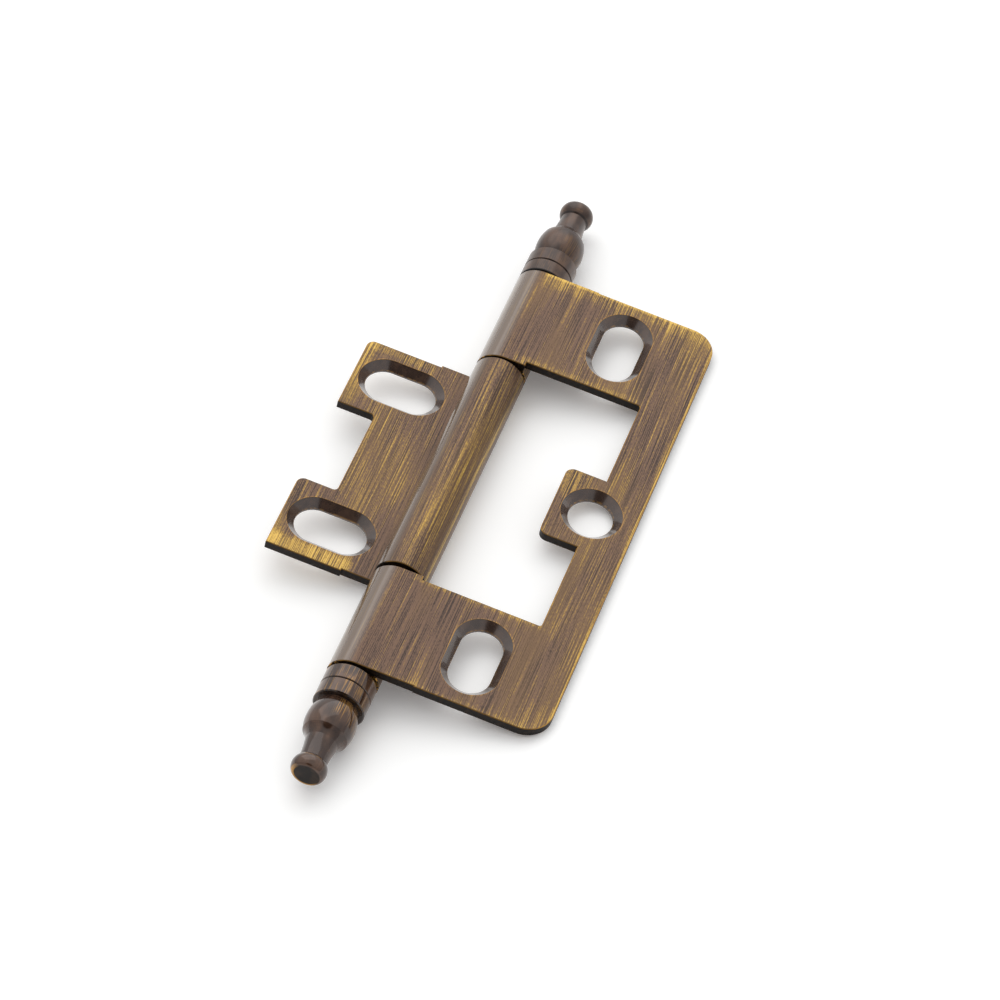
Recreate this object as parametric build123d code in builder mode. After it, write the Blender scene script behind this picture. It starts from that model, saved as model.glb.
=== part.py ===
from build123d import *
from math import asin, degrees, radians, tan
import os

os.makedirs("parts", exist_ok=True)

# A cabinet hinge that is screwed on without a mortise. The inner leaf folds into the window
# of the outer leaf, so the closed hinge is one sheet thick. Both leaves are brass sheet, cut
# out, countersunk and rolled round a pin whose threaded ends carry turned finials.
#
# Frame: the origin is the centre of the outer leaf's two slots, on its mounting face. +X
# points away from the pin, +Y along the pin to the upper finial, and +Z out of the leaf
# towards the screw heads. The hinge is open by 180 degrees. All sizes are in millimetres.

# Sheet and barrel
sheet = 1.4
barrel_d = 7.2
seam_gap = 0.14          # slit between a curl's cut end and its own leaf
edge_break = 0.1         # taken off the leaves' outlines by stamping and polishing

# Outer leaf, measured from the pin's axis unless said otherwise
leaf_length = 76.2       # along the pin
outer_reach = 26.0
outer_corner_r = 3.8
rail_width = 6.2
arm_length = 16.95       # each arm, along the pin
window_corner_r = 0.4
lip = 0.65               # how far a knuckle stands past its arm into the window
lip_reach = 3.0          # where that lip ends
tab_reach = 5.55         # from the rail towards the pin
tab_width = 12.6
tab_corner_r = 1.2
outer_step_x = 8.0       # the outline is sheared in two strokes that meet here
outer_step = 0.12        # and miss each other by this much

# Inner leaf: when the hinge is closed it fills the window, less these gaps
upper_gap = 0.35         # between its knuckle and the outer leaf's, beside each arm
lower_gap = 0.7
rail_gap = 1.05
tab_end_gap = 0.95
tab_side_gap = 1.1
inner_step_x = 8.0       # sheared in two strokes as well
inner_step = 0.3
notch_corner_r = 0.6
inner_corner_r = 1.1     # the tabs' corners on the side of the upper finial
inner_nick_r = 0.3       # the tabs' corners on the side of the lower finial

# Screw holes
sink_angle = 90          # included angle of every countersink
slot_through = 5.8
slot_sink = 8.05
outer_slot_run = 4.8     # between the centres of a slot's round ends
outer_slot_x = 13.8
outer_slot_y = 29.8
inner_slot_run = 4.35
inner_slot_x = 11.75
inner_slot_y = 13.7
inner_slot_set = 0.025   # the pair of slots stands this much nearer to the upper finial
hole_through = 6.2
hole_sink = 8.6
hole_inset = 0.05        # the round hole's centre, from the rail's inner edge towards the pin

# Pin
pin_clearance = 0.05     # radial, in the knuckles
finial_gap = 0.3         # between a finial and the knuckle beside it
stud_d = 3.0
stud_length = 5.5
stud_chamfer = 0.3
stud_clearance = 0.02    # radial, in the finial
bore_run_out = 0.6       # depth of a finial's bore past the end of the stud

# Finials: diameters, and places along the pin from the face that meets the pin
collar_d = 7.1
collar_chamfer = 0.12
collar_length = 4.85
collar_rim = 0.15
groove_place = 2.4
groove_depth = 0.2
groove_width = 0.3
cove_width = 0.25        # at its floor, between the collar and the bulb
bulb_root_d = 5.6
bulb_d = 6.8
bulb_place = 7.65
bulb_end_d = 6.1
bulb_end_place = 9.7
bulb_end_r = 0.2         # the bulb's softened corner
shoulder_d = 5.1
shoulder_place = 10.25
neck_root_d = 4.4
neck_root_place = 10.9
waist_d = 3.98
waist_place = 12.3
neck_d = 3.74
neck_place = 14.1
button_step = 0.2        # length of the button's underside, a steep cone
button_root_d = 4.1
button_d = 4.86
button_place = 15.35
button_end_d = 4.44
button_end_place = 16.15
end_d = 3.7
end_place = 16.45

barrel_r = barrel_d / 2
bore_r = barrel_r - sheet
pin_x = -outer_slot_x
pin_z = sheet - barrel_r
pin_axis = Axis((pin_x, 0, pin_z), (0, 1, 0))
half_length = leaf_length / 2
window_half = half_length - arm_length
lip_half = window_half - lip
rail_x = outer_reach - rail_width
tab_x = rail_x - tab_reach
inner_length = 2 * lip_half - upper_gap - lower_gap
inner_set = (lower_gap - upper_gap) / 2
inner_reach = rail_x - rail_gap
notch_x = tab_x - tab_end_gap
notch_width = tab_width + 2 * tab_side_gap
inner_face_z = pin_z - barrel_r
finial_face = half_length + finial_gap


def slot_cutter(face, run, through, sink):
    """A countersunk slot that runs along the X of a plane on the sheet's upper face."""
    past = sheet / 2
    slope = tan(radians(sink_angle / 2))
    cone_depth = (sink - through) / 2 / slope
    with BuildPart() as cutter:
        with BuildSketch(face.offset(past)):
            SlotCenterToCenter(run, sink + 2 * past * slope)
        with BuildSketch(face.offset(-cone_depth)):
            SlotCenterToCenter(run, through)
        loft(ruled=True)
        with BuildSketch(face.offset(-cone_depth)):
            SlotCenterToCenter(run, through)
        extrude(amount=-sheet - past)
    return cutter.part


def curl(plane, length):
    """A leaf's edge rolled into a knuckle, from the tangent line round to the seam.

    The plane's origin is on the pin's axis, its Y points to the tangent line and its X
    towards the leaf's outer edge. The knuckle lies in front of the plane.
    """
    turned = 270 + degrees(asin((bore_r - seam_gap) / barrel_r))
    with BuildPart() as knuckle:
        with BuildSketch(plane):
            with BuildLine():
                outside = CenterArc((0, 0), barrel_r, 90, turned)
                inside = CenterArc((0, 0), bore_r, 90, turned)
                Line(outside @ 0, inside @ 0)
                Line(outside @ 1, inside @ 1)
            make_face()
        extrude(amount=length)
    return knuckle.part


def turned_finial(side):
    """A finial turned in one piece, for the end of the pin on the side +1 or -1 of Y."""
    plane = Plane((pin_x, side * finial_face, pin_z), x_dir=(0, side, 0), z_dir=(0, 0, -side))
    collar_r = collar_d / 2
    stud_bore_r = stud_d / 2 + stud_clearance
    bore_end = stud_length + bore_run_out
    with BuildPart() as finial:
        with BuildSketch(plane):
            with BuildLine():
                collar = Polyline(
                    (bore_end, 0),
                    (bore_end, stud_bore_r),
                    (0, stud_bore_r),
                    (0, collar_r - collar_chamfer),
                    (collar_chamfer, collar_r),
                    (groove_place - groove_width / 2, collar_r),
                    (groove_place, collar_r - groove_depth),
                    (groove_place + groove_width / 2, collar_r),
                    (collar_length - collar_rim, collar_r),
                    (collar_length, collar_r - collar_rim),
                    (collar_length, bulb_root_d / 2),
                    (collar_length + cove_width, bulb_root_d / 2),
                )
                bulb = ThreePointArc(
                    collar @ 1, (bulb_place, bulb_d / 2), (bulb_end_place, bulb_end_d / 2)
                )
                shoulder = ThreePointArc(
                    bulb @ 1, (shoulder_place, shoulder_d / 2), (neck_root_place, neck_root_d / 2)
                )
                neck = ThreePointArc(
                    shoulder @ 1, (waist_place, waist_d / 2), (neck_place, neck_d / 2)
                )
                underside = Line(neck @ 1, (neck_place + button_step, button_root_d / 2))
                button = ThreePointArc(
                    underside @ 1, (button_place, button_d / 2), (button_end_place, button_end_d / 2)
                )
                rim = TangentArc(button @ 1, (end_place, end_d / 2), tangent=button % 1)
                Polyline(rim @ 1, (end_place, 0), collar @ 0)
            make_face()
            fillet(vertices().sort_by_distance(bulb @ 1)[0], bulb_end_r)
        revolve(axis=pin_axis)
    return finial.part


def near(place):
    """The range of places that count as one when vertices or faces are chosen."""
    return place - 0.01, place + 0.01


def outline(leaf, height, side):
    """The edges round a leaf's upper or lower face, without its tangent lines and screw holes.

    The leaf lies on the side +1 or -1 of the pin. A chamfer on these edges runs on round the
    ends of the knuckles.
    """
    plate = leaf.faces().filter_by(Plane.XY).filter_by_position(Axis.Z, *near(height))
    rim = plate.sort_by(SortBy.AREA)[-1].outer_wire().edges()
    clear_of_barrel = rim.filter_by(lambda edge: side * (edge.center().X - pin_x) > edge_break)
    return clear_of_barrel.filter_by(lambda edge: edge.length > edge_break)


# Outer leaf: a C-shaped plate with a screw tab in its window, and a knuckle on each arm
with BuildPart() as outer_leaf:
    with BuildSketch(Plane.XY):
        with Locations((pin_x + (outer_step_x + outer_reach) / 2, 0)):
            Rectangle(outer_reach - outer_step_x, leaf_length)
        fillet(vertices().group_by(Axis.X)[-1], outer_corner_r)
        with Locations((pin_x + outer_step_x / 2, outer_step)):
            Rectangle(outer_step_x, leaf_length)
        with Locations((pin_x + rail_x / 2, 0)):
            Rectangle(rail_x, 2 * window_half, mode=Mode.SUBTRACT)
        fillet(vertices().filter_by_position(Axis.X, *near(pin_x + rail_x)), window_corner_r)
        with Locations((pin_x + lip_reach / 2, window_half), (pin_x + lip_reach / 2, -window_half)):
            Rectangle(lip_reach, 2 * lip)
        with Locations((pin_x + (tab_x + rail_x) / 2, 0)):
            Rectangle(rail_x - tab_x, tab_width)
        fillet(vertices().filter_by_position(Axis.X, *near(pin_x + tab_x)), tab_corner_r)
    extrude(amount=sheet)
    for bottom, top in ((lip_half, half_length + outer_step), (outer_step - half_length, -lip_half)):
        knuckle_plane = Plane((pin_x, top, pin_z), x_dir=(1, 0, 0), z_dir=(0, -1, 0))
        add(curl(knuckle_plane, top - bottom))
    for slot_y in (outer_slot_y, -outer_slot_y):
        slot_plane = Plane((0, slot_y, sheet), x_dir=(0, 1, 0), z_dir=(0, 0, 1))
        add(slot_cutter(slot_plane, outer_slot_run, slot_through, slot_sink), mode=Mode.SUBTRACT)
    with Locations((pin_x + rail_x - hole_inset, 0, sheet)):
        CounterSinkHole(hole_through / 2, hole_sink / 2, counter_sink_angle=sink_angle)
    for height in (0, sheet):
        chamfer(outline(outer_leaf.part, height, 1), edge_break)
outer_leaf.part.label = "outer_leaf"

# Inner leaf: a plate with a notch for the outer leaf's tab, and one knuckle
with BuildPart() as inner_leaf:
    with BuildSketch(Plane.XY.offset(inner_face_z)):
        with Locations((pin_x - (inner_step_x + inner_reach) / 2, inner_set - inner_step)):
            Rectangle(inner_reach - inner_step_x, inner_length)
        with Locations((pin_x - (inner_reach + notch_x) / 2, inner_set - inner_step)):
            Rectangle(inner_reach - notch_x, notch_width, mode=Mode.SUBTRACT)
        fillet(vertices().filter_by_position(Axis.X, *near(pin_x - notch_x)), notch_corner_r)
        corners = vertices().group_by(Axis.X)[0].sort_by(Axis.Y)
        fillet(corners[1::2], inner_corner_r)
        fillet(corners[0::2], inner_nick_r)
        with Locations((pin_x - inner_step_x / 2, inner_set)):
            Rectangle(inner_step_x, inner_length)
    extrude(amount=sheet)
    knuckle_plane = Plane((pin_x, lip_half - upper_gap, pin_z), x_dir=(-1, 0, 0), z_dir=(0, -1, 0))
    add(curl(knuckle_plane, inner_length))
    for slot_y in (inner_slot_y, -inner_slot_y):
        slot_centre = (pin_x - inner_slot_x, inner_slot_set + slot_y, inner_face_z + sheet)
        slot_plane = Plane(slot_centre, x_dir=(1, 0, 0), z_dir=(0, 0, 1))
        add(slot_cutter(slot_plane, inner_slot_run, slot_through, slot_sink), mode=Mode.SUBTRACT)
    for height in (inner_face_z, inner_face_z + sheet):
        chamfer(outline(inner_leaf.part, height, -1), edge_break)
inner_leaf.part.label = "inner_leaf"

# Pin: a plain shank through the knuckles, with a stepped-down stud on each end
with BuildPart() as hinge_pin:
    with BuildSketch(Plane((pin_x, -finial_face, pin_z), x_dir=(1, 0, 0), z_dir=(0, 1, 0))):
        Circle(bore_r - pin_clearance)
    extrude(amount=2 * finial_face)
    for side in (-1, 1):
        stud_plane = Plane((pin_x, side * finial_face, pin_z), x_dir=(1, 0, 0), z_dir=(0, side, 0))
        with BuildSketch(stud_plane):
            Circle(stud_d / 2)
        extrude(amount=stud_length)
    chamfer(edges().group_by(Axis.Y)[0] + edges().group_by(Axis.Y)[-1], stud_chamfer)
hinge_pin.part.label = "hinge_pin"

# Finials: one on each end of the pin
with BuildPart() as upper_finial:
    add(turned_finial(1))
upper_finial.part.label = "upper_finial"

with BuildPart() as lower_finial:
    add(turned_finial(-1))
lower_finial.part.label = "lower_finial"

export_step(outer_leaf.part, "parts/outer_leaf.step")
export_step(inner_leaf.part, "parts/inner_leaf.step")
export_step(hinge_pin.part, "parts/hinge_pin.step")
export_step(upper_finial.part, "parts/upper_finial.step")
export_step(lower_finial.part, "parts/lower_finial.step")
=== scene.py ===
import logging
import math
from dataclasses import dataclass, field
from enum import Enum
from typing import Optional, Sequence, Union

import bmesh
import bpy
from mathutils import Matrix, Vector

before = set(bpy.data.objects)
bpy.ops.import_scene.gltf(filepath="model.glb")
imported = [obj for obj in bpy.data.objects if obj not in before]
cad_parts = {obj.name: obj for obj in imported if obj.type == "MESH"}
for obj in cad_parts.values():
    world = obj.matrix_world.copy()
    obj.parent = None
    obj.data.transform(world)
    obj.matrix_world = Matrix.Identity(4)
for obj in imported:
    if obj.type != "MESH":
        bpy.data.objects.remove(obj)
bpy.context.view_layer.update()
log = logging.getLogger("hinge")

MM = 0.001
BELL_TOP = 0.35
Socket = bpy.types.NodeSocket
Amount = Union[float, Socket]
Tint = tuple[int, int, int]
Paint = Union[Tint, Socket]
Triple = tuple[float, float, float]


def linear(tint: Tint) -> tuple[float, float, float, float]:
    """Turns a colour as it is seen on a screen into the linear one that a shader takes.

    Args:
        tint: Red, green and blue from 0 to 255.

    Returns:
        The linear colour with an alpha of 1.
    """
    steps = [value / 255.0 for value in tint]
    red, green, blue = [s / 12.92 if s <= 0.04045 else ((s + 0.055) / 1.055) ** 2.4 for s in steps]
    return red, green, blue, 1.0


class Along(Enum):
    """The way a slot runs in its leaf."""

    PIN = "along the pin"
    ACROSS = "across the pin"


@dataclass(frozen=True)
class Slot:
    """A countersunk slot or round hole of a leaf, in millimetres.

    A round hole is a slot with no run.
    """

    x: float
    y: float
    run: float = 0.0
    along: Along = Along.PIN
    sink: float = 8.05


@dataclass(frozen=True)
class Rub:
    """A patch of a leaf's face where handling has rubbed the dark coat thin, in millimetres.

    A strength below 0 keeps more of the coat there; along the inner leaf's barrel this darker
    patch is painted shade.
    """

    low_x: float
    high_x: float
    low_y: float
    high_y: float
    soft: float
    strength: float


@dataclass(frozen=True)
class Band:
    """Where something starts to show, where it shows fully, and how strongly it shows there."""

    start: float
    full: float
    share: float = 1.0


@dataclass(frozen=True)
class Bell:
    """A soft ring or line: its place and how far it reaches to both sides."""

    place: float
    width: float


@dataclass(frozen=True)
class Lacquer:
    """How a surface shines: its own reflection, and the weight and dullness of its clear coat."""

    reflection: float
    coat: float = 0.0
    coat_dullness: float = 0.1


@dataclass(frozen=True)
class Sizes:
    """The hinge's driving sizes in millimetres, in the part's own frame.

    The origin is on the outer leaf's mounting face, Y runs along the pin to the upper finial,
    X from the pin to the outer leaf's outer edge, and Z to the screw heads.
    """

    sheet: float = 1.4
    barrel_radius: float = 3.6
    pin_x: float = -13.8
    outer_edge: float = 12.2
    half_length: float = 38.1
    window_half: float = 21.15
    rail_edge: float = 6.0
    tab_edge: float = 0.45
    tab_half: float = 6.3
    inner_edge: float = -32.55
    inner_half: float = 19.95
    inner_shift: float = 0.025

    @property
    def pin_z(self) -> float:
        """Height of the pin's axis."""
        return self.sheet - self.barrel_radius

    @property
    def inner_face(self) -> float:
        """Height of the inner leaf's face, which lies at the barrel's lower side."""
        return self.pin_z - self.barrel_radius + self.sheet


class Graph:
    """One material's nodes, made and joined by short calls. Its lengths are millimetres."""

    def __init__(self, name: str) -> None:
        """Starts an empty material and reads the place on the piece.

        Args:
            name: The material's name.
        """
        self.material: bpy.types.Material = bpy.data.materials.new(name)
        self.material.use_nodes = True
        self.tree: bpy.types.NodeTree = self.material.node_tree
        self.tree.nodes.clear()
        self.output: bpy.types.Node = self.tree.nodes.new("ShaderNodeOutputMaterial")
        coordinates = self.tree.nodes.new("ShaderNodeTexCoord")
        self.place: Socket = self.stretch(coordinates.outputs["Object"], (1 / MM, 1 / MM, 1 / MM))
        self.x, self.y, self.z = self.split(self.place)
        self.normal_x, self.normal_y, self.normal_z = self.split(coordinates.outputs["Normal"])

    def feed(self, socket: Socket, value: Union[Amount, Paint]) -> None:
        """Joins a socket to another one, or sets it to a constant.

        Args:
            socket: The input to feed.
            value: An output socket, a number or a screen colour.
        """
        if isinstance(value, bpy.types.NodeSocket):
            self.tree.links.new(value, socket)
        elif isinstance(value, tuple):
            socket.default_value = linear(value)
        else:
            socket.default_value = value

    def split(self, vector: Socket) -> tuple[Socket, Socket, Socket]:
        """Takes a vector apart.

        Args:
            vector: The vector.

        Returns:
            Its three parts.
        """
        node = self.tree.nodes.new("ShaderNodeSeparateXYZ")
        self.feed(node.inputs["Vector"], vector)
        return node.outputs["X"], node.outputs["Y"], node.outputs["Z"]

    def join(self, x: Amount, y: Amount, z: Amount) -> Socket:
        """Makes a vector of three parts.

        Args:
            x: The first part.
            y: The second part.
            z: The third part.

        Returns:
            The vector.
        """
        node = self.tree.nodes.new("ShaderNodeCombineXYZ")
        for name, value in (("X", x), ("Y", y), ("Z", z)):
            self.feed(node.inputs[name], value)
        return node.outputs["Vector"]

    def stretch(self, vector: Socket, scale: Triple, turn: float = 0.0) -> Socket:
        """Scales a place before a pattern reads it, and turns it about Z.

        Args:
            vector: The place.
            scale: The scale along each axis.
            turn: The turn in radians.

        Returns:
            The mapped place.
        """
        node = self.tree.nodes.new("ShaderNodeMapping")
        node.inputs["Scale"].default_value = scale
        node.inputs["Rotation"].default_value = (0.0, 0.0, turn)
        self.feed(node.inputs["Vector"], vector)
        return node.outputs["Vector"]

    def math(self, operation: str, *values: Amount) -> Socket:
        """Works out one number.

        Args:
            operation: The name of the sum, as a Math node has it.
            values: Its one or two numbers.

        Returns:
            The result.
        """
        node = self.tree.nodes.new("ShaderNodeMath")
        node.operation = operation
        for socket, value in zip(node.inputs, values):
            self.feed(socket, value)
        return node.outputs["Value"]

    def fold(self, operation: str, first: Amount, second: Amount, *others: Amount) -> Socket:
        """Works one sum through two or more numbers, from the first to the last.

        Args:
            operation: The name of the sum, as a Math node has it.
            first: The first number.
            second: The second number.
            others: The numbers after these, if there are any.

        Returns:
            The result.
        """
        total = self.math(operation, first, second)
        for value in others:
            total = self.math(operation, total, value)
        return total

    def plus(self, *values: Amount) -> Socket:
        """Adds two or more values."""
        return self.fold("ADD", *values)

    def times(self, *values: Amount) -> Socket:
        """Multiplies two or more values."""
        return self.fold("MULTIPLY", *values)

    def largest(self, *values: Amount) -> Socket:
        """Gives the largest of two or more values."""
        return self.fold("MAXIMUM", *values)

    def smallest(self, *values: Amount) -> Socket:
        """Gives the smallest of two or more values."""
        return self.fold("MINIMUM", *values)

    def less(self, value: Amount, other: Amount) -> Socket:
        """Gives the value less the other one."""
        return self.math("SUBTRACT", value, other)

    def rest(self, value: Amount) -> Socket:
        """Gives 1 less the value."""
        return self.less(1.0, value)

    def size(self, value: Amount) -> Socket:
        """Gives the value without its sign."""
        return self.math("ABSOLUTE", value)

    def length(self, first: Amount, second: Amount) -> Socket:
        """Gives the length of two sides at a right angle."""
        return self.math("SQRT", self.plus(self.times(first, first), self.times(second, second)))

    def smooth(self, value: Amount, low: Amount, high: Amount) -> Socket:
        """Rises softly from 0 to 1.

        Args:
            value: The value that is looked at.
            low: The value up to which the result is 0.
            high: The value from which on it is 1.

        Returns:
            The result, from 0 to 1.
        """
        node = self.tree.nodes.new("ShaderNodeMapRange")
        node.interpolation_type = "SMOOTHSTEP"
        for name, number in (("Value", value), ("From Min", low), ("From Max", high)):
            self.feed(node.inputs[name], number)
        return node.outputs["Result"]

    def show(self, value: Amount, band: Band) -> Socket:
        """Lets something show by a band.

        Args:
            value: The value that is looked at.
            band: Where it starts to show, where it shows fully, and how strongly.

        Returns:
            The result, from 0 to the band's share.
        """
        risen = self.smooth(value, band.start, band.full)
        return risen if band.share == 1.0 else self.times(risen, band.share)

    def spread(self, value: Amount, band: Band) -> Socket:
        """Spreads a value from 0 to 1 evenly over a band, and further on past both its ends.

        Args:
            value: The value.
            band: What 0 becomes and what 1 becomes.

        Returns:
            The result.
        """
        node = self.tree.nodes.new("ShaderNodeMapRange")
        node.clamp = False
        self.feed(node.inputs["Value"], value)
        node.inputs["To Min"].default_value = band.start
        node.inputs["To Max"].default_value = band.full
        return node.outputs["Result"]

    def bell(self, value: Amount, bell: Bell) -> Socket:
        """Gives 1 at the bell's place, falling softly to 0 at its width on both sides."""
        away = self.size(self.less(value, bell.place))
        return self.rest(self.smooth(away, BELL_TOP * bell.width, bell.width))

    def noise(
        self, vector: Socket, grain: Triple, detail: float = 2.0, turn: float = 0.0
    ) -> Socket:
        """Gives a noise whose grains have the lengths given in millimetres.

        Args:
            vector: The place in millimetres.
            grain: The length of a grain along each axis.
            detail: How many finer layers it has.
            turn: The turn of the grain about Z, in radians.

        Returns:
            A value about 0.5.
        """
        scale = (1 / grain[0], 1 / grain[1], 1 / grain[2])
        node = self.tree.nodes.new("ShaderNodeTexNoise")
        node.inputs["Scale"].default_value = 1.0
        node.inputs["Detail"].default_value = detail
        self.feed(node.inputs["Vector"], self.stretch(vector, scale, turn))
        return node.outputs["Fac"]

    def tint(self, amount: Amount, first: Paint, second: Paint) -> Socket:
        """Mixes two colours.

        Args:
            amount: How far it goes from the first to the second, from 0 to 1.
            first: The first colour.
            second: The second colour.

        Returns:
            The mixed colour.
        """
        node = self.tree.nodes.new("ShaderNodeMix")
        node.data_type = "RGBA"
        self.feed(node.inputs[0], amount)
        self.feed(node.inputs[6], first)
        self.feed(node.inputs[7], second)
        return node.outputs[2]

    def bump(self, height: Amount, depth: float) -> Socket:
        """Turns a height into a normal.

        Args:
            height: The height, about 0 to 1.
            depth: What a height of 1 is in millimetres.

        Returns:
            The normal.
        """
        node = self.tree.nodes.new("ShaderNodeBump")
        node.inputs["Strength"].default_value = 1.0
        node.inputs["Distance"].default_value = depth * MM
        self.feed(node.inputs["Height"], height)
        return node.outputs["Normal"]

    def shader(
        self,
        colour: Paint,
        metallic: Amount,
        roughness: Amount,
        lacquer: Lacquer,
        normal: Optional[Socket] = None,
    ) -> Socket:
        """Makes one surface.

        Args:
            colour: Its base colour.
            metallic: How far it is bare metal.
            roughness: How dull it is.
            lacquer: How it shines.
            normal: The normal of its fine relief.

        Returns:
            The shader.
        """
        node = self.tree.nodes.new("ShaderNodeBsdfPrincipled")
        self.feed(node.inputs["Base Color"], colour)
        self.feed(node.inputs["Metallic"], metallic)
        self.feed(node.inputs["Roughness"], roughness)
        node.inputs["Specular IOR Level"].default_value = lacquer.reflection
        node.inputs["Coat Weight"].default_value = lacquer.coat
        node.inputs["Coat Roughness"].default_value = lacquer.coat_dullness
        if normal is not None:
            self.feed(node.inputs["Normal"], normal)
        return node.outputs["BSDF"]

    def layer(self, amount: Amount, first: Socket, second: Socket) -> Socket:
        """Mixes two shaders.

        Args:
            amount: How far it goes from the first to the second, from 0 to 1.
            first: The first shader.
            second: The second shader.

        Returns:
            The mixed shader.
        """
        node = self.tree.nodes.new("ShaderNodeMixShader")
        self.feed(node.inputs[0], amount)
        self.feed(node.inputs[1], first)
        self.feed(node.inputs[2], second)
        return node.outputs[0]

    def finish(self, shader: Socket) -> bpy.types.Material:
        """Joins the last shader to the output and gives the material."""
        self.feed(self.output.inputs["Surface"], shader)
        return self.material


@dataclass(frozen=True)
class Plate:
    """One leaf as its finish has to know it.

    Barrel skin whose normal leans less to the right than smooth_from turns from brushed to smooth.
    """

    node: str
    face: float
    slots: Sequence[Slot]
    rubs: Sequence[Rub]
    smooth_from: float


@dataclass(frozen=True)
class Places:
    """Where on a leaf each kind of surface is, as values from 0 to 1."""

    brushed: Socket
    top: Socket
    curled: Socket
    sunk: Socket
    lip: Socket


@dataclass(frozen=True)
class Grain:
    """A leaf's patterns: its fine grain, joined grain, broad clouds, specks, and worn places."""

    fine: Socket
    joined: Socket
    broad: Socket
    specks: Socket
    worn: Socket


@dataclass(frozen=True)
class BrushedBrass:
    """Antique brass sheet: a brown coat brushed along the pin until gold shows in streaks.

    Grains are lengths along X, Y and Z in millimetres, turns are radians about Z, and places on
    the skin, the countersinks and the sides are millimetres.
    """

    brown: Tint = (109, 83, 66)
    deep: Tint = (54, 40, 33)
    warm: Tint = (118, 90, 58)
    gold: Tint = (168, 135, 64)
    bright: Tint = (222, 184, 92)
    side: Tint = (16, 10, 6)
    side_light: Tint = (40, 27, 18)
    rim: Tint = (196, 148, 76)
    sink: Tint = (60, 44, 36)
    flank: Tint = (101, 80, 62)

    waver_grain: Triple = (14.0, 40.0, 14.0)
    waver: Band = Band(-0.6, 0.6)
    fine_grain: Triple = (0.10, 13.0, 0.10)
    fine_turn: float = 0.012
    fine_share: float = 0.56
    middle_grain: Triple = (0.16, 24.0, 0.16)
    middle_turn: float = 0.02
    middle_share: float = 0.24
    grit_grain: Triple = (0.13, 0.42, 0.13)
    grit_share: float = 0.20
    broad_grain: Triple = (4.5, 24.0, 4.5)
    broad_turn: float = 0.03
    streak_depth: float = 0.010

    level: Band = Band(0.82, 0.95)
    end_on: Band = Band(0.25, 0.5)
    skin_depth: float = 0.22
    curl_blend: float = 0.4
    sink_top: Band = Band(-0.06, -0.01)
    sink_edge: Band = Band(0.0, 0.05)
    sink_lip: Bell = Bell(0.03, 0.16)
    throat_place: float = 1.12
    throat_width: float = 0.14
    foot: Band = Band(0.04, 0.16)
    chamfer_lean: Band = Band(0.45, 0.6)
    sideways_lean: Band = Band(0.3, 0.6, 0.55)
    chamfer_wear: float = 0.28

    cloudy: Band = Band(-0.035, 0.045)
    gold_start: float = 0.548
    gold_width: float = 0.085
    glint: Band = Band(0.08, 0.10)
    tone_band: Band = Band(0.40, 0.54)
    warm_pull: float = 1.2
    warm_band: Band = Band(0.38, 0.74, 0.55)
    bare_share: float = 0.70
    lip_band: Band = Band(0.42, 0.66)
    lip_share: float = 0.5
    metal: float = 0.45
    bare_metal: float = 0.45
    dullness: float = 0.36
    grain_dullness: float = 0.10
    bare_dullness: float = -0.06
    face_lacquer: Lacquer = Lacquer(0.35, 0.12, 0.2)

    speck_grain: Triple = (0.5, 0.5, 0.35)
    wear_band: Band = Band(0.40, 0.66)
    side_band: Band = Band(0.45, 0.7)
    edge_metal: float = 0.8
    side_dullness: float = 0.42
    shear_grain: Triple = (0.22, 0.22, 1.6)
    shear_depth: float = 0.02
    side_lacquer: Lacquer = Lacquer(0.16)

    cloud_grain: Triple = (1.2, 2.4, 1.2)
    cloud_band: Band = Band(0.35, 0.75, 0.4)
    throat_share: float = 0.35
    flank_band: Band = Band(0.58, 0.74, 0.35)
    smooth_metal: float = 0.2
    smooth_dullness: float = 0.24
    smooth_lacquer: Lacquer = Lacquer(0.8, 0.8, 0.07)

    def patterns(self, graph: Graph) -> Grain:
        """Makes the brushed grain, with the slight waver of a hand-held brush, and the specks.

        Args:
            graph: The material's nodes.

        Returns:
            The patterns.
        """
        waver = graph.spread(graph.noise(graph.place, self.waver_grain, detail=0.0), self.waver)
        drawn = graph.join(graph.plus(graph.x, waver), graph.y, graph.z)
        fine = graph.noise(drawn, self.fine_grain, detail=1.0, turn=self.fine_turn)
        middle = graph.noise(drawn, self.middle_grain, turn=self.middle_turn)
        broad = graph.noise(graph.place, self.broad_grain, turn=self.broad_turn)
        grit = graph.noise(graph.place, self.grit_grain, detail=1.0)
        joined = graph.plus(
            graph.times(fine, self.fine_share),
            graph.times(middle, self.middle_share),
            graph.times(grit, self.grit_share),
        )
        specks = graph.noise(graph.place, self.speck_grain, detail=3.0)
        return Grain(fine, joined, broad, specks, graph.show(specks, self.wear_band))

    def patch(self, graph: Graph, rub: Rub) -> Socket:
        """Gives the strength of one rubbed patch.

        Args:
            graph: The material's nodes.
            rub: The patch.

        Returns:
            Its strength, which is 0 away from it.
        """
        soft = rub.soft
        sides = (
            graph.smooth(graph.x, rub.low_x - soft, rub.low_x + soft),
            graph.rest(graph.smooth(graph.x, rub.high_x - soft, rub.high_x + soft)),
            graph.smooth(graph.y, rub.low_y - soft, rub.low_y + soft),
            graph.rest(graph.smooth(graph.y, rub.high_y - soft, rub.high_y + soft)),
        )
        return graph.times(*sides, rub.strength)

    def reach(self, graph: Graph, slot: Slot) -> Socket:
        """Measures how far a place is from a slot's countersink.

        Args:
            graph: The material's nodes.
            slot: The slot.

        Returns:
            The distance from the countersink's rim, below 0 inside it.
        """
        across = graph.less(graph.x, slot.x)
        down = graph.less(graph.y, slot.y)
        half = slot.run / 2
        if slot.along is Along.PIN:
            down = graph.largest(graph.less(graph.size(down), half), 0.0)
        else:
            across = graph.largest(graph.less(graph.size(across), half), 0.0)
        return graph.less(graph.length(across, down), slot.sink / 2)

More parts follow.
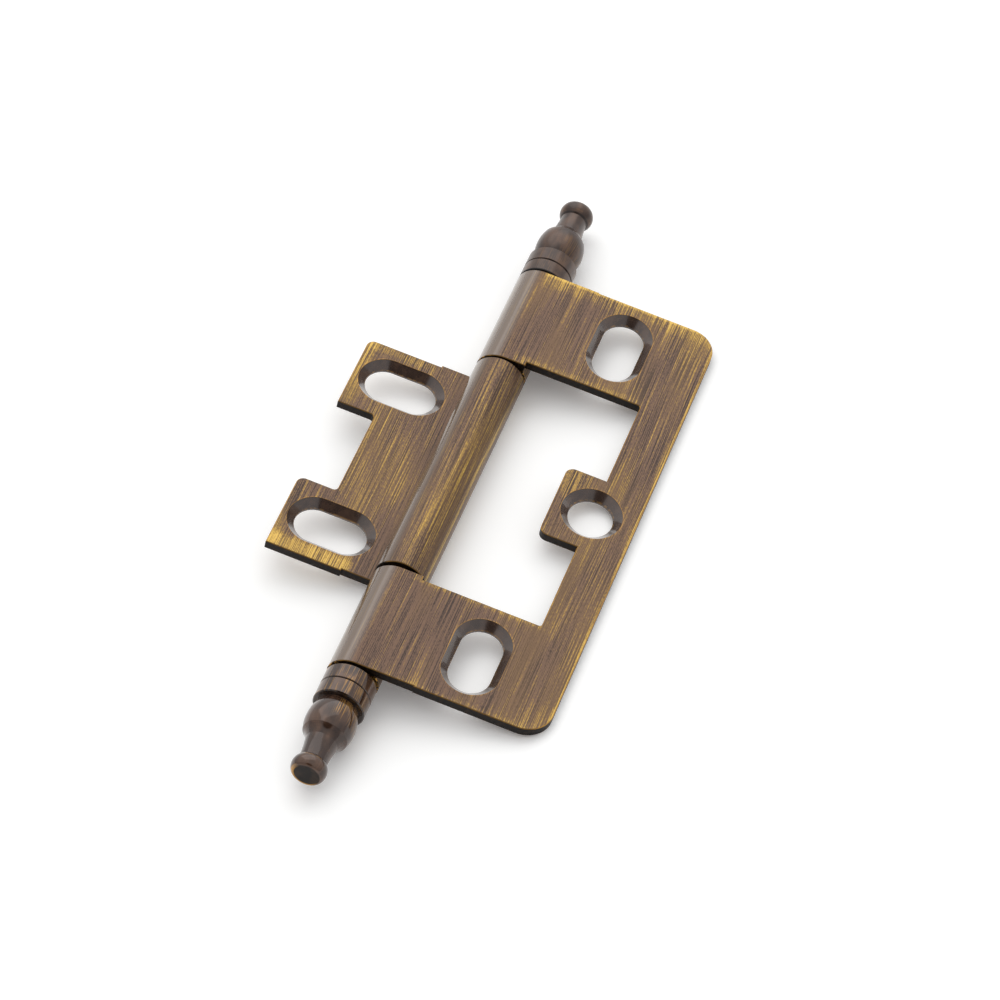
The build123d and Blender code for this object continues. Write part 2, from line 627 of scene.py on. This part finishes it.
    def places(self, graph: Graph, sizes: Sizes, plate: Plate) -> Places:
        """Finds the leaf's kinds of surface by their place and by the way they face.

        Args:
            graph: The material's nodes.
            sizes: The hinge's sizes.
            plate: The leaf.

        Returns:
            Where each kind of surface is.
        """
        from_pin = graph.length(graph.less(graph.x, sizes.pin_x), graph.less(graph.z, sizes.pin_z))
        top = graph.show(graph.normal_z, self.level)
        under = graph.show(graph.times(graph.normal_z, -1.0), self.level)
        flank = graph.rest(graph.show(graph.size(graph.normal_y), self.end_on))
        skin = graph.bell(from_pin, Bell(sizes.barrel_radius, self.skin_depth))
        barrel = graph.times(skin, flank)
        brushed = graph.largest(top, under, barrel)
        turned = graph.smooth(
            graph.normal_x, plate.smooth_from - self.curl_blend, plate.smooth_from
        )
        curled = graph.times(barrel, graph.rest(turned))

        nearest = graph.smallest(*[self.reach(graph, slot) for slot in plate.slots])
        below = graph.smooth(
            graph.z, plate.face + self.sink_top.start, plate.face + self.sink_top.full
        )
        sunk = graph.times(graph.rest(graph.show(nearest, self.sink_edge)), graph.rest(below))
        return Places(brushed, top, curled, sunk, graph.bell(nearest, self.sink_lip))

    def brushed_face(self, graph: Graph, plate: Plate, grain: Grain, places: Places) -> Socket:
        """Makes the brushed faces: brown with gold streaks, more of them where it is rubbed.

        Args:
            graph: The material's nodes.
            plate: The leaf.
            grain: The leaf's patterns.
            places: Where each kind of surface is.

        Returns:
            The shader.
        """
        rubbed = [self.patch(graph, rub) for rub in plate.rubs]
        density = graph.plus(graph.spread(grain.broad, self.cloudy), *rubbed)
        start = graph.less(self.gold_start, density)
        end = graph.plus(start, self.gold_width)
        streak = graph.smooth(grain.joined, start, end)
        glint = graph.smooth(
            grain.joined, graph.plus(start, self.glint.start), graph.plus(end, self.glint.full)
        )

        tone = graph.tint(graph.show(grain.joined, self.tone_band), self.deep, self.brown)
        warmth = graph.plus(grain.broad, graph.times(density, self.warm_pull))
        tone = graph.tint(graph.show(warmth, self.warm_band), tone, self.warm)
        bare = graph.times(streak, self.bare_share)
        colour = graph.tint(bare, tone, graph.tint(glint, self.gold, self.bright))
        lip_wear = graph.show(grain.fine, self.lip_band)
        lip_wear = graph.times(places.lip, lip_wear, self.lip_share)
        colour = graph.tint(lip_wear, colour, self.rim)

        metallic = graph.plus(self.metal, graph.times(bare, self.bare_metal))
        roughness = graph.plus(
            self.dullness,
            graph.times(grain.fine, self.grain_dullness),
            graph.times(bare, self.bare_dullness),
        )
        relief = graph.bump(grain.joined, self.streak_depth)
        return graph.shader(colour, metallic, roughness, self.face_lacquer, relief)

    def sheared_side(
        self, graph: Graph, sizes: Sizes, plate: Plate, grain: Grain, places: Places
    ) -> Socket:
        """Makes the dark sheared sides, with gold on the broken edges and at their foot.

        Args:
            graph: The material's nodes.
            sizes: The hinge's sizes.
            plate: The leaf.
            grain: The leaf's patterns.
            places: Where each kind of surface is.

        Returns:
            The shader.
        """
        chamfer = graph.show(graph.normal_z, self.chamfer_lean)
        chamfer = graph.times(chamfer, graph.rest(places.top))
        sideways = graph.show(graph.size(graph.normal_x), self.sideways_lean)
        chamfer = graph.times(chamfer, graph.plus(self.chamfer_wear, sideways))
        base = plate.face - sizes.sheet
        foot = graph.rest(graph.smooth(graph.z, base + self.foot.start, base + self.foot.full))
        edge = graph.largest(chamfer, graph.times(foot, grain.worn))
        colour = graph.tint(graph.show(grain.specks, self.side_band), self.side, self.side_light)
        colour = graph.tint(edge, colour, self.rim)
        relief = graph.bump(graph.noise(graph.place, self.shear_grain), self.shear_depth)
        metallic = graph.times(edge, self.edge_metal)
        return graph.shader(colour, metallic, self.side_dullness, self.side_lacquer, relief)

    def smooth_coat(self, graph: Graph, plate: Plate, grain: Grain, places: Places) -> Socket:
        """Makes the glossy coat of the countersinks and of the barrel's smooth side.

        Args:
            graph: The material's nodes.
            plate: The leaf.
            grain: The leaf's patterns.
            places: Where each kind of surface is.

        Returns:
            The shader.
        """
        cloud = graph.noise(graph.place, self.cloud_grain)
        sink_tone = graph.tint(graph.show(cloud, self.cloud_band), self.sink, self.brown)
        throat = graph.bell(graph.z, Bell(plate.face - self.throat_place, self.throat_width))
        worn = graph.times(throat, grain.worn, self.throat_share)
        sink_tone = graph.tint(worn, sink_tone, self.rim)
        flank_tone = graph.tint(graph.show(grain.fine, self.flank_band), self.flank, self.gold)
        colour = graph.tint(places.curled, sink_tone, flank_tone)
        return graph.shader(colour, self.smooth_metal, self.smooth_dullness, self.smooth_lacquer)

    def dress(self, sizes: Sizes, plate: Plate) -> bpy.types.Material:
        """Makes the finish of one leaf.

        Args:
            sizes: The hinge's sizes.
            plate: The leaf.

        Returns:
            The material.
        """
        graph = Graph(plate.node + "_finish")
        grain = self.patterns(graph)
        places = self.places(graph, sizes, plate)
        face = self.brushed_face(graph, plate, grain, places)
        side = self.sheared_side(graph, sizes, plate, grain, places)
        coat = self.smooth_coat(graph, plate, grain, places)
        in_sinks = graph.times(places.sunk, graph.rest(places.brushed))
        rough = graph.layer(places.brushed, side, face)
        return graph.finish(graph.layer(graph.largest(in_sinks, places.curled), rough, coat))


@dataclass(frozen=True)
class FinialLook:
    """How one finial's finish differs from the other's.

    Its end is 1 for the upper finial and -1 for the lower one. Streaked says how much gold shows,
    and the crease setting how far out along the pin the painted shade line beside the knuckle
    ends, in millimetres.
    """

    node: str
    end: int
    streaked: float
    dullness: float
    gloss: float
    crease_shade: float


@dataclass(frozen=True)
class TurnedBrass:
    """The finials' finish: lathe-turned brass under a dark glossy coat, worn on its rims, with
    painted shade in its grooves and beside the knuckle, and painted highlights on its lower rims
    and on the bulb's right side.

    Grains and places are millimetres. Places run outwards along the pin, from the hinge's middle.
    """

    coat: Tint = (54, 37, 29)
    light: Tint = (94, 68, 52)
    # The colour of the painted shade in the grooves and beside the knuckle.
    dark: Tint = (16, 10, 8)
    end_dark: Tint = (24, 17, 13)
    end_light: Tint = (46, 34, 26)
    gold: Tint = (190, 142, 74)

    cloud_grain: Triple = (1.6, 3.5, 1.6)
    cloud_band: Band = Band(0.36, 0.70)
    drawn_grain: Triple = (0.16, 5.0, 1.0)
    patch_grain: Triple = (2.2, 3.0, 1.0)
    ring_grain: Triple = (7.0, 0.10, 7.0)
    ring_depth: float = 0.003
    ring_share: float = 0.5
    tooled_band: Band = Band(0.42, 0.6, 0.35)

    collar_end: Band = Band(43.2, 43.4)
    bulb_start: Band = Band(43.3, 43.6)
    bulb_end: Band = Band(45.8, 47.6)
    # The bulb's right side, where its streaks are shown as a painted highlight.
    bulb_lit_side: Band = Band(-0.15, 0.2)
    lit_bulb_share: float = 1.6
    streak_start: float = 0.67
    streak_width: float = 0.14
    patch_pull: float = -0.28
    lit_bulb_pull: float = -0.05

    # Painted shade: the places along the pin where the grooves, the gap at the knuckle and the
    # cove are darkened.
    shaded_grooves: tuple[float, ...] = (38.42, 40.80, 43.22, 52.62)
    groove_shade_width: float = 0.16
    groove_shade_share: float = 0.75
    # How softly the painted shade beside the knuckle fades out.
    crease_shade_blend: float = 0.16
    rims: tuple[float, ...] = (38.60, 53.05)
    rim_band: Band = Band(0.44, 0.62)
    rim_share: float = 0.9
    rim_width: float = 0.12
    # Rims on the finial's lower side, which faces the lit floor, get extra gold: wear and a
    # painted reflection of the floor.
    low_wear_and_highlight_rim: float = 43.04
    low_wear_and_highlight_share: float = 2.0
    low_x: float = -0.58
    low_z: float = -0.81
    low_wear_and_highlight_band: Band = Band(-0.6, 1.2)
    end_radius: float = 1.850
    end_edge: Band = Band(-0.24, -0.12)
    end_start: Band = Band(54.6, 54.7)

    metal: float = 0.25
    streak_metal: float = 0.5
    drawn_dullness: float = 0.10
    reflection: float = 0.5
    coat_dullness: float = 0.05
    faced_lean: Band = Band(0.90, 0.99)
    faced_start: Band = Band(54.0, 54.6)
    end_band: Band = Band(0.40, 0.65)
    end_metal: float = 0.1
    end_dullness: float = 0.34
    end_lacquer: Lacquer = Lacquer(0.18)

    def streak(
        self, graph: Graph, look: FinialLook, out: Socket, around: Socket, drawn: Socket
    ) -> Socket:
        """Makes the gold streaks: wear on the collar, and on the bulb only on its right side, as a
        painted highlight where the light catches them.

        Args:
            graph: The material's nodes.
            look: The finial's own look.
            out: The place along the pin.
            around: The finial's skin unrolled: the way around it, the way along it, and 0.
            drawn: The grain along the finial.

        Returns:
            How much gold shows.
        """
        patch = graph.noise(around, self.patch_grain, detail=1.0)
        on_collar = graph.rest(graph.show(out, self.collar_end))
        on_bulb = graph.times(
            graph.show(out, self.bulb_start), graph.rest(graph.show(out, self.bulb_end))
        )
        # Painted highlight: the bulb shows its streaks only on its right side, where the light
        # catches them.
        on_bulb = graph.times(on_bulb, graph.show(graph.normal_x, self.bulb_lit_side))
        on_body = graph.largest(on_collar, graph.times(on_bulb, self.lit_bulb_share))
        start = graph.plus(
            self.streak_start,
            graph.times(patch, self.patch_pull),
            graph.times(on_bulb, self.lit_bulb_pull),
        )
        risen = graph.smooth(drawn, start, graph.plus(start, self.streak_width))
        return graph.times(risen, on_body, look.streaked)

    def dress(self, sizes: Sizes, look: FinialLook) -> bpy.types.Material:
        """Makes the finish of one finial.

        Args:
            sizes: The hinge's sizes.
            look: The finial's own look.

        Returns:
            The material.
        """
        graph = Graph(look.node + "_finish")
        out = graph.times(graph.y, float(look.end))
        sideways = graph.less(graph.x, sizes.pin_x)
        upwards = graph.less(graph.z, sizes.pin_z)
        turn = graph.times(graph.math("ARCTAN2", sideways, upwards), sizes.barrel_radius)
        around = graph.join(turn, graph.y, 0.0)
        cloud = graph.noise(graph.place, self.cloud_grain)
        drawn = graph.noise(around, self.drawn_grain)
        rings = graph.noise(graph.place, self.ring_grain)

        colour = graph.tint(graph.show(cloud, self.cloud_band), self.coat, self.light)
        tooled = graph.plus(
            graph.times(rings, self.ring_share), graph.times(drawn, self.ring_share)
        )
        colour = graph.tint(graph.show(tooled, self.tooled_band), colour, self.coat)
        streak = self.streak(graph, look, out, around, drawn)
        colour = graph.tint(streak, colour, self.gold)

        worn = graph.largest(*[graph.bell(out, Bell(rim, self.rim_width)) for rim in self.rims])
        rim_share = look.streaked * self.rim_share
        worn = graph.times(worn, graph.show(cloud, self.rim_band), rim_share)
        # Extra gold on the rims of the lower side only: wear and a painted reflection of the lit
        # floor.
        downwards = graph.plus(
            graph.times(sideways, self.low_x), graph.times(upwards, self.low_z)
        )
        end_rim = graph.smooth(
            graph.length(sideways, upwards),
            self.end_radius + self.end_edge.start,
            self.end_radius + self.end_edge.full,
        )
        end_rim = graph.times(end_rim, graph.show(out, self.end_start))
        low_wear_and_highlight = graph.largest(graph.bell(out, Bell(self.low_wear_and_highlight_rim, self.rim_width)), end_rim)
        low_wear_and_highlight_share = look.streaked * self.low_wear_and_highlight_share
        low_wear_and_highlight = graph.times(low_wear_and_highlight, graph.show(downwards, self.low_wear_and_highlight_band), low_wear_and_highlight_share)
        colour = graph.tint(graph.largest(worn, low_wear_and_highlight), colour, self.gold)
        # Painted shade in the grooves, in the gap at the knuckle and in the cove under the collar.
        shaded_grooves = [graph.bell(out, Bell(groove, self.groove_shade_width)) for groove in self.shaded_grooves]
        shade = graph.times(graph.largest(*shaded_grooves), self.groove_shade_share)
        colour = graph.tint(shade, colour, self.dark)

        relief = graph.bump(rings, self.ring_depth)
        metallic = graph.plus(self.metal, graph.times(streak, self.streak_metal))
        roughness = graph.plus(look.dullness, graph.times(drawn, self.drawn_dullness))
        lacquer = Lacquer(self.reflection, look.gloss, self.coat_dullness)
        glossy = graph.shader(colour, metallic, roughness, lacquer, relief)

        faced = graph.show(graph.times(graph.normal_y, float(look.end)), self.faced_lean)
        faced = graph.times(faced, graph.show(out, self.faced_start))
        tone = graph.tint(graph.show(cloud, self.end_band), self.end_dark, self.end_light)
        # The end face's rim on the lower side gets the same gold: wear and a painted reflection of
        # the floor.
        tone = graph.tint(graph.times(end_rim, low_wear_and_highlight), tone, self.gold)
        # Painted shade: the collar beside the knuckle is darkened and made dull, standing in for
        # the shadow in the gap.
        crease_shade = graph.rest(graph.smooth(out, look.crease_shade - self.crease_shade_blend, look.crease_shade))
        tone = graph.tint(crease_shade, tone, self.dark)
        dull = graph.shader(tone, self.end_metal, self.end_dullness, self.end_lacquer, relief)
        return graph.finish(graph.layer(graph.largest(faced, crease_shade), glossy, dull))


@dataclass(frozen=True)
class DrawnRod:
    """The pin's finish: bright drawn brass rod with fine lines along it."""

    brass: Tint = (176, 138, 84)
    dull: Tint = (110, 82, 52)
    line_grain: Triple = (0.10, 9.0, 0.10)
    line_band: Band = Band(0.5, 0.7, 0.5)
    line_depth: float = 0.006
    line_dullness: float = 0.2
    stain_grain: Triple = (1.5, 4.0, 1.5)
    stain_band: Band = Band(0.45, 0.75)
    metal: float = 0.9
    dullness: float = 0.2
    lacquer: Lacquer = Lacquer(0.5)

    def dress(self, name: str) -> bpy.types.Material:
        """Makes the pin's finish.

        Args:
            name: The pin's CAD node.

        Returns:
            The material.
        """
        graph = Graph(name + "_finish")
        lines = graph.noise(graph.place, self.line_grain, detail=3.0)
        stain = graph.noise(graph.place, self.stain_grain, detail=3.0)
        colour = graph.tint(graph.show(stain, self.stain_band), self.brass, self.dull)
        colour = graph.tint(graph.show(lines, self.line_band), colour, self.dull)
        roughness = graph.plus(self.dullness, graph.times(lines, self.line_dullness))
        relief = graph.bump(lines, self.line_depth)
        return graph.finish(graph.shader(colour, self.metal, roughness, self.lacquer, relief))


@dataclass(frozen=True)
class PaleFloor:
    """A matt white table top that shows the hinge's shadow and can't be seen from below."""

    white: Tint = (252, 252, 251)
    lift: float = 0.12
    matt: Lacquer = Lacquer(0.0)

    def dress(self, name: str) -> bpy.types.Material:
        """Makes the floor's finish.

        Args:
            name: The floor's name.

        Returns:
            The material.
        """
        graph = Graph(name + "_finish")
        matt = graph.shader(self.white, 0.0, 1.0, self.matt)
        path = graph.tree.nodes.new("ShaderNodeLightPath")
        rays = ("Is Camera Ray", "Is Glossy Ray", "Is Transmission Ray")
        seen = graph.largest(*[path.outputs[ray] for ray in rays])
        glow = graph.tree.nodes.new("ShaderNodeEmission")
        graph.feed(glow.inputs["Strength"], graph.times(seen, self.lift))
        both = graph.tree.nodes.new("ShaderNodeAddShader")
        graph.feed(both.inputs[0], matt)
        graph.feed(both.inputs[1], glow.outputs[0])
        clear = graph.tree.nodes.new("ShaderNodeBsdfTransparent")
        faces = graph.tree.nodes.new("ShaderNodeNewGeometry")
        below = faces.outputs["Backfacing"]
        return graph.finish(graph.layer(below, both.outputs[0], clear.outputs[0]))


@dataclass
class Leaf:
    """What both leaves share: a CAD node that keeps its shape and gets its finish."""

    sizes: Sizes
    finish: BrushedBrass = field(default_factory=BrushedBrass)

    def plate(self) -> Plate:
        """Gives the leaf as its finish has to know it."""
        raise NotImplementedError

    def build(self) -> None:
        """Dresses the leaf's CAD node."""
        plate = self.plate()
        dress_node(plate.node, self.finish.dress(self.sizes, plate))


@dataclass
class OuterLeaf(Leaf):
    """The C-shaped leaf with two long slots, the tab's round hole and two knuckles."""

    node: str = "outer_leaf"
    slot_y: float = 29.8
    slot_run: float = 4.8
    hole_x: float = 5.95
    hole_sink: float = 8.6
    smooth_from: float = -0.08

    def slots(self) -> tuple[Slot, ...]:
        """Gives the leaf's screw holes.

        Returns:
            The two slots and the round hole.
        """
        return (
            Slot(0.0, self.slot_y, self.slot_run),
            Slot(0.0, -self.slot_y, self.slot_run),
            Slot(self.hole_x, 0.0, sink=self.hole_sink),
        )

    def rubs(self) -> tuple[Rub, ...]:
        """Gives the places that are rubbed more or less than the rest.

        Returns:
            The patches, from the upper edge down.
        """
        size = self.sizes
        pin, edge, half, window = size.pin_x, size.outer_edge, size.half_length, size.window_half
        past_edge, past_half = edge + 2, half + 2
        return (
            # The upper edge, its very rim, and the upper right corner.
            Rub(pin + 0.6, past_edge, half - 2.0, past_half, 1.2, 0.065),
            Rub(pin + 0.2, past_edge, half - 0.4, past_half, 0.3, 0.12),
            Rub(6.5, past_edge, 31.5, past_half, 2.5, 0.05),
            # The calm left part of the upper arm.
            Rub(pin, -4.5, window + 1.5, half - 3, 1.5, -0.032),
            # The outer edge, and the upper arm's edge at the window.
            Rub(edge - 0.35, past_edge, -38.0, past_half, 0.25, 0.14),
            Rub(pin + 1, size.rail_edge, window - 1, window + 0.9, 0.5, 0.06),
            # The tab's upper left corner.
            Rub(size.tab_edge - 1, size.rail_edge - 2, 1.5, size.tab_half + 1, 1.2, 0.08),
            # The lower right corner, the lower edge, and the lower arm's edge at the window.
            Rub(6.0, past_edge, -past_half, -34.0, 1.8, 0.025),
            Rub(pin + 2, edge, -past_half, -half + 0.6, 0.4, 0.04),
            Rub(pin + 2, size.rail_edge, -window - 0.6, -window + 1, 0.3, 0.06),
            # The calm middle of the lower arm.
            Rub(pin, 10.0, -36.5, -22.5, 1.5, -0.04),
        )

    def plate(self) -> Plate:
        """Gives the leaf as its finish has to know it."""
        return Plate(self.node, self.sizes.sheet, self.slots(), self.rubs(), self.smooth_from)


@dataclass
class InnerLeaf(Leaf):
    """The smaller leaf with two slots across it, a notch and the middle knuckle."""

    node: str = "inner_leaf"
    slot_x: float = -25.55
    slot_y: float = 13.7
    slot_run: float = 4.35
    notch_edge: float = -27.1
    notch_half: float = 7.4
    smooth_from: float = -0.40

    def slots(self) -> tuple[Slot, ...]:
        """Gives the two slots that run across the pin."""
        heights = (self.sizes.inner_shift + self.slot_y, self.sizes.inner_shift - self.slot_y)
        return tuple(Slot(self.slot_x, y, self.slot_run, Along.ACROSS) for y in heights)

    def rubs(self) -> tuple[Rub, ...]:
        """Gives the places that are rubbed more or less than the rest, and the strip of painted
        shade along the barrel.

        Returns:
            The patches: first the plate's lower strip, last the strip of painted shade along the
                barrel.
        """
        size = self.sizes
        pin, edge, half = size.pin_x, size.inner_edge, size.inner_half
        notch, notch_half, past_half = self.notch_edge, self.notch_half, half + 1
        return (
            # The lower strip and the plate's middle.
            Rub(edge - 1, pin - 7, -past_half, -half + 2.2, 0.8, 0.115),
            Rub(edge + 4, pin - 7, -half, half, 2.0, 0.025),
            # The knuckle's crown and the line along its right side.
            Rub(pin - 0.4, pin + 2.2, -past_half, past_half, 0.9, 0.045),
            Rub(pin + 3.08, pin + 3.36, -past_half, past_half, 0.08, 0.13),
            # The free edges below and above the notch, the upper edge, and the notch.
            Rub(edge - 1, edge + 1.6, -half, -notch_half, 0.8, 0.06),
            Rub(edge - 1, edge + 1.8, notch_half, past_half, 0.9, 0.08),
            Rub(edge - 1, pin - 9, half - 1.6, past_half, 0.6, 0.06),
            Rub(notch - 1, notch + 0.7, -notch_half, notch_half, 0.4, 0.05),
            # The strip along the barrel, kept darker with fewer streaks: painted shade beside the
            # barrel.
            Rub(pin - 5.2, pin - 2.0, -past_half, past_half, 1.2, -0.035),
        )

    def plate(self) -> Plate:
        """Gives the leaf as its finish has to know it."""
        return Plate(self.node, self.sizes.inner_face, self.slots(), self.rubs(), self.smooth_from)


@dataclass
class PinAndFinials:
    """The pin and the turned finial on each of its ends."""

    sizes: Sizes
    pin: str = "hinge_pin"
    looks: tuple[FinialLook, ...] = (
        FinialLook("upper_finial", 1, streaked=0.10, dullness=0.26, gloss=0.2, crease_shade=38.78),
        FinialLook("lower_finial", -1, streaked=0.45, dullness=0.08, gloss=0.35, crease_shade=38.42),
    )
    turned: TurnedBrass = field(default_factory=TurnedBrass)
    rod: DrawnRod = field(default_factory=DrawnRod)

    def build(self) -> None:
        """Dresses the pin and both finials."""
        dress_node(self.pin, self.rod.dress(self.pin))
        for look in self.looks:
            dress_node(look.node, self.turned.dress(self.sizes, look))


@dataclass(frozen=True)
class Softbox:
    """One large soft lamp that looks at the hinge. Its lengths are metres."""

    name: str
    direction: Triple
    away: float
    width: float
    height: float
    brightness: float

    def build(self, centre: Vector) -> None:
        """Places the lamp.

        Args:
            centre: The point that it looks at, in metres.
        """
        data = bpy.data.lights.new(self.name, "AREA")
        data.shape = "RECTANGLE"
        data.size = self.width
        data.size_y = self.height
        data.energy = self.brightness * math.pi * self.width * self.height
        lamp = bpy.data.objects.new(self.name, data)
        bpy.context.scene.collection.objects.link(lamp)
        lamp.location = centre + Vector(self.direction).normalized() * self.away
        lamp.rotation_euler = (centre - lamp.location).to_track_quat("-Z", "Y").to_euler()


@dataclass(frozen=True)
class Glow:
    """A soft round patch of the world.

    Its direction is the one in which the hinge sees it, and its edge holds the cosines of its
    outer and its inner edge.
    """

    direction: Triple
    colour: Tint
    edge: Band

    def build(self, tree: bpy.types.NodeTree) -> Socket:
        """Makes the patch.

        Args:
            tree: The world's nodes.

        Returns:
            A value from 0 outside the patch to 1 in it.
        """
        coordinates = tree.nodes.new("ShaderNodeTexCoord")
        toward = tree.nodes.new("ShaderNodeVectorMath")
        toward.operation = "DOT_PRODUCT"
        toward.inputs[1].default_value = Vector(self.direction).normalized()
        tree.links.new(coordinates.outputs["Generated"], toward.inputs[0])
        spread = tree.nodes.new("ShaderNodeMapRange")
        spread.interpolation_type = "SMOOTHSTEP"
        spread.inputs["From Min"].default_value = self.edge.start
        spread.inputs["From Max"].default_value = self.edge.full
        tree.links.new(toward.outputs["Value"], spread.inputs["Value"])
        return spread.outputs["Result"]


@dataclass
class Studio:
    """Camera, floor, lamp and world. The hinge lies on its barrel and its outer edge."""

    sizes: Sizes
    eye: Triple = (42.97, -388.06, 456.48)
    right: Triple = (0.92861, 0.32665, 0.17602)
    up: Triple = (-0.36190, 0.69258, 0.62399)
    focal_pixels: float = 4481.0
    image_pixels: float = 1000.0
    sensor: float = 36.0
    clip_start: float = 0.01
    floor_half: float = 3.0
    floor_tilt: float = math.radians(12.84)
    finish: PaleFloor = field(default_factory=PaleFloor)
    softbox: Softbox = Softbox(
        "high_softbox", (-0.34, 0.58, 0.74), away=1.2, width=1.5, height=1.2, brightness=0.95
    )
    surroundings: Tint = (200, 200, 202)
    window: Glow = Glow((-0.30, 0.62, 0.72), (255, 255, 255), Band(-0.3, 0.95))
    opening: Glow = Glow((-0.08, -0.76, 0.645), (50, 46, 44), Band(0.935, 0.972))
    backdrop: Tint = (255, 255, 255)

    def build_camera(self) -> None:
        """Places the camera where the photograph was taken from."""
        data = bpy.data.cameras.new("camera")
        data.sensor_fit = "HORIZONTAL"
        data.sensor_width = self.sensor
        data.lens = self.focal_pixels * self.sensor / self.image_pixels
        data.clip_start = self.clip_start
        camera = bpy.data.objects.new("camera", data)
        bpy.context.scene.collection.objects.link(camera)
        right = Vector(self.right).normalized()
        back = right.cross(Vector(self.up)).normalized()
        up = back.cross(right)
        turn = Matrix((right, up, back)).transposed().to_4x4()
        camera.matrix_world = Matrix.Translation(Vector(self.eye) * MM) @ turn
        bpy.context.scene.camera = camera

    def build_floor(self) -> None:
        """Lays the floor under the barrel and the outer leaf's outer edge."""
        sizes = self.sizes
        normal = Vector((-math.sin(self.floor_tilt), 0.0, math.cos(self.floor_tilt)))
        axis = Vector((sizes.pin_x, 0.0, sizes.pin_z)) * MM
        origin = axis - normal * sizes.barrel_radius * MM
        shape = bmesh.new()
        bmesh.ops.create_grid(shape, x_segments=1, y_segments=1, size=self.floor_half)
        turn = Matrix.Rotation(-self.floor_tilt, 4, "Y")
        bmesh.ops.transform(shape, matrix=Matrix.Translation(origin) @ turn, verts=shape.verts)
        mesh = bpy.data.meshes.new("floor")
        shape.to_mesh(mesh)
        shape.free()
        floor = bpy.data.objects.new("floor", mesh)
        bpy.context.scene.collection.objects.link(floor)
        mesh.materials.append(self.finish.dress("floor"))
        floor.visible_shadow = False

    def build_world(self) -> None:
        """Surrounds the hinge with a white tent that has a dark opening for the camera."""
        world = bpy.data.worlds.new("studio")
        bpy.context.scene.world = world
        world.use_nodes = True
        tree = world.node_tree
        path = tree.nodes.new("ShaderNodeLightPath")
        layers = [(glow.build(tree), glow.colour) for glow in (self.window, self.opening)]
        layers.append((path.outputs["Is Camera Ray"], self.backdrop))
        colour: Optional[Socket] = None
        for amount, tint in layers:
            mix = tree.nodes.new("ShaderNodeMix")
            mix.data_type = "RGBA"
            mix.inputs[6].default_value = linear(self.surroundings)
            mix.inputs[7].default_value = linear(tint)
            tree.links.new(amount, mix.inputs[0])
            if colour is not None:
                tree.links.new(colour, mix.inputs[6])
            colour = mix.outputs[2]
        tree.links.new(colour, tree.nodes["Background"].inputs["Color"])

    def build(self) -> None:
        """Builds the whole studio."""
        self.build_camera()
        self.build_floor()
        self.build_world()
        self.softbox.build(Vector((self.sizes.pin_x, 0.0, 0.0)) * MM)
        bpy.context.scene.view_settings.view_transform = "Standard"


def dress_node(name: str, material: bpy.types.Material) -> None:
    """Gives every surface of a CAD node one finish.

    Args:
        name: The node's name.
        material: The finish.
    """
    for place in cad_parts[name].material_slots:
        place.material = material
    log.info("dressed %s", name)


def main() -> None:
    """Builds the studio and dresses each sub-assembly."""
    logging.basicConfig(level=logging.INFO, format="%(name)s: %(message)s")
    sizes = Sizes()
    Studio(sizes).build()
    OuterLeaf(sizes).build()
    InnerLeaf(sizes).build()
    PinAndFinials(sizes).build()


if __name__ == "__main__":
    main()
